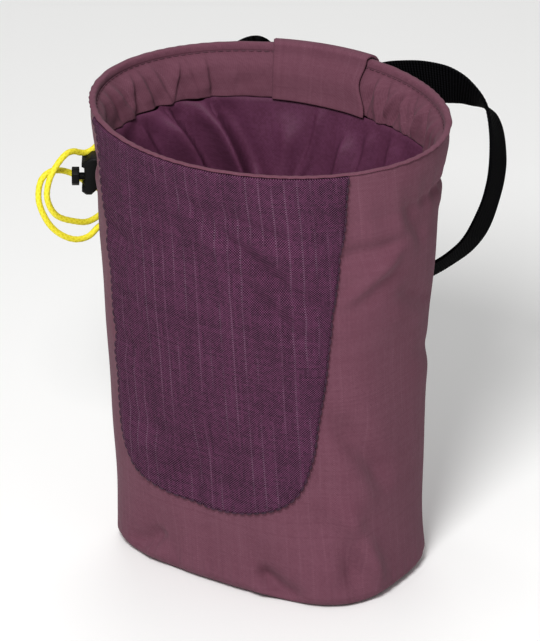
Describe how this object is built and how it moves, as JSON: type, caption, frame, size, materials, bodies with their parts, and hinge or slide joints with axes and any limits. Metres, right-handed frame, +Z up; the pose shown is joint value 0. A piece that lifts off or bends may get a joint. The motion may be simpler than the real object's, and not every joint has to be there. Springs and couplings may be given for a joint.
{
  "type": "climbing chalk bag",
  "caption": "Soft oval drawcord bag for climbing chalk, with a gathered collar, a front panel, a lining, a waist webbing loop and a sprung cord lock.",
  "frame": {"origin": "on the ground under the middle of the bag's base", "axes": "+Z up through the mouth, -Y towards the front panel, +Y towards the belt"},
  "size_m": [0.1446, 0.1248, 0.1731],
  "materials": {
    "body_cloth": "matt mauve ripstop weave",
    "panel_cloth": "matt dark purple melange ripstop weave",
    "lining_cloth": "slightly shiny plum taffeta",
    "webbing": "black ribbed webbing",
    "yellow_cord": "braided bright yellow cord",
    "black_plastic": "moulded black plastic"
  },
  "bodies": {
    "bag": {"shell": "body_cloth", "base_panel": "body_cloth", "front_panel": "panel_cloth", "rim_facing": "body_cloth", "lining": "lining_cloth", "belt_sleeve": "body_cloth", "belt": "webbing", "belt_buckle": "black_plastic", "draw_cord": "yellow_cord", "cord_lock_body": "black_plastic"},
    "lock_button": {"cord_lock_button": "black_plastic"}
  },
  "joints": [
    {"name": "cord_lock_press", "type": "slide", "parent": "bag", "child": "lock_button", "axis": [0.8387, 0.5446, 0], "range_m": [0, 0.0015], "stiffness_N_per_m": 100, "springref_m": -0.008}
  ]
}
